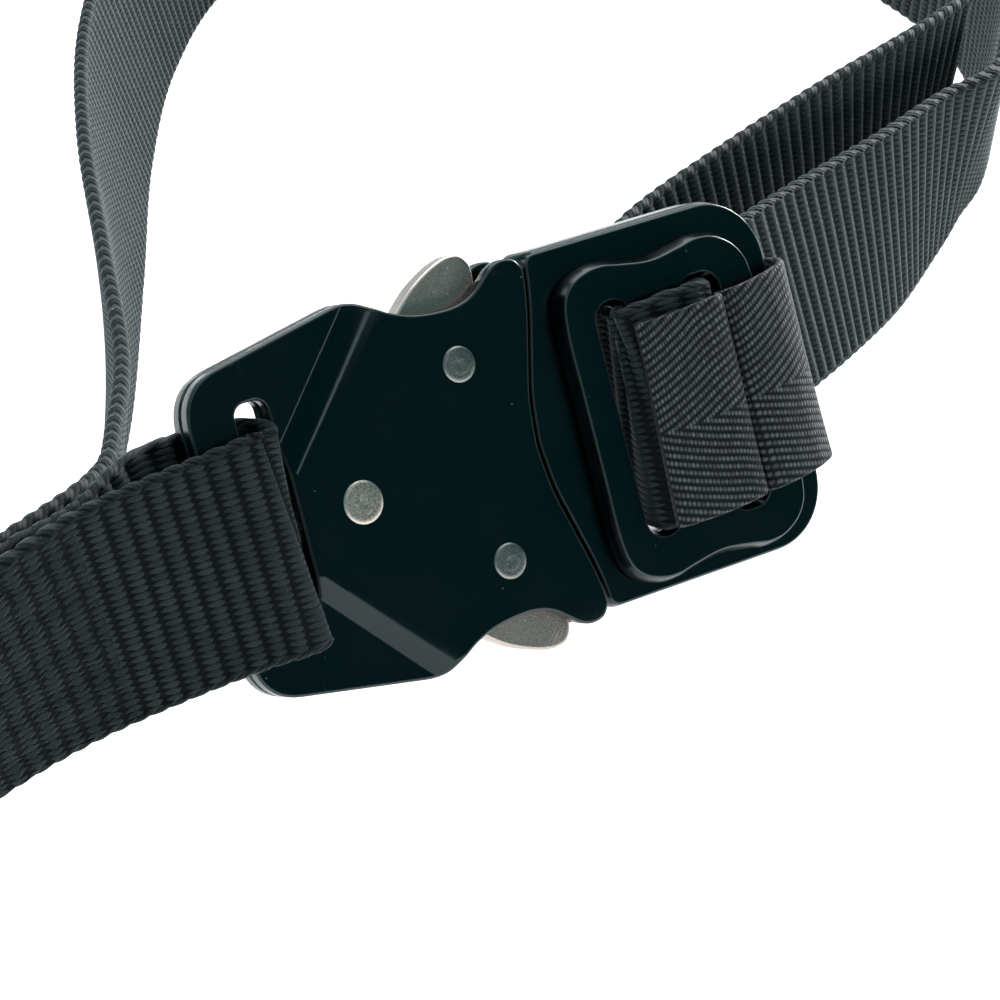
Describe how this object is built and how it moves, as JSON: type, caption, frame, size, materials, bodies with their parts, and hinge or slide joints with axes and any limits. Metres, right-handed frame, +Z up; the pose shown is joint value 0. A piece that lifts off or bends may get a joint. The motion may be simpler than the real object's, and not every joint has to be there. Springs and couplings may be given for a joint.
{
  "type": "sit harness leg loop with a quick-release buckle",
  "caption": "Closed webbing leg loop of a sit harness, fastened by a black metal buckle with side release levers and a strap adjuster.",
  "frame": {"origin": "middle of the loop's foot, on the surface it stands on", "axes": "+Y from the buckle across the leg opening to the loop's far end, +Z up, out of the surface"},
  "size_m": [0.1514, 0.2904, 0.0435],
  "materials": {
    "anodised": "satin black anodised",
    "lever_steel": "tumbled satin",
    "rivet_bright": "tumbled bright",
    "rivet_dull": "satin grey",
    "webbing": "coarse ribbed weave",
    "tape": "fine herringbone weave"
  },
  "bodies": {
    "loop": {"female_top_plate": "anodised", "female_back_plate": "anodised", "male_frame": "anodised", "adjuster_plate": "anodised", "rivet_centre": "rivet_bright", "rivet_upper": "rivet_dull", "rivet_lower": "rivet_dull", "main_webbing": "webbing", "adjuster_tape": "tape"},
    "upper_lever": {"lever_upper": "lever_steel"},
    "lower_lever": {"lever_lower": "lever_steel"}
  },
  "joints": [
    {"name": "upper_lever_press", "type": "hinge", "parent": "loop", "child": "upper_lever", "pos_m": [-0.00771, -0.08218, 0.03232], "axis": [-0.4805, 0.7456, -0.4617], "range_deg": [0, 16], "stiffness_Nm_per_rad": 0.01, "springref_deg": -11.46},
    {"name": "lower_lever_press", "type": "hinge", "parent": "loop", "child": "lower_lever", "pos_m": [-0.00186, -0.09126, 0.01157], "axis": [0.4805, -0.7456, 0.4617], "range_deg": [0, 12], "stiffness_Nm_per_rad": 0.01, "springref_deg": -11.46}
  ]
}
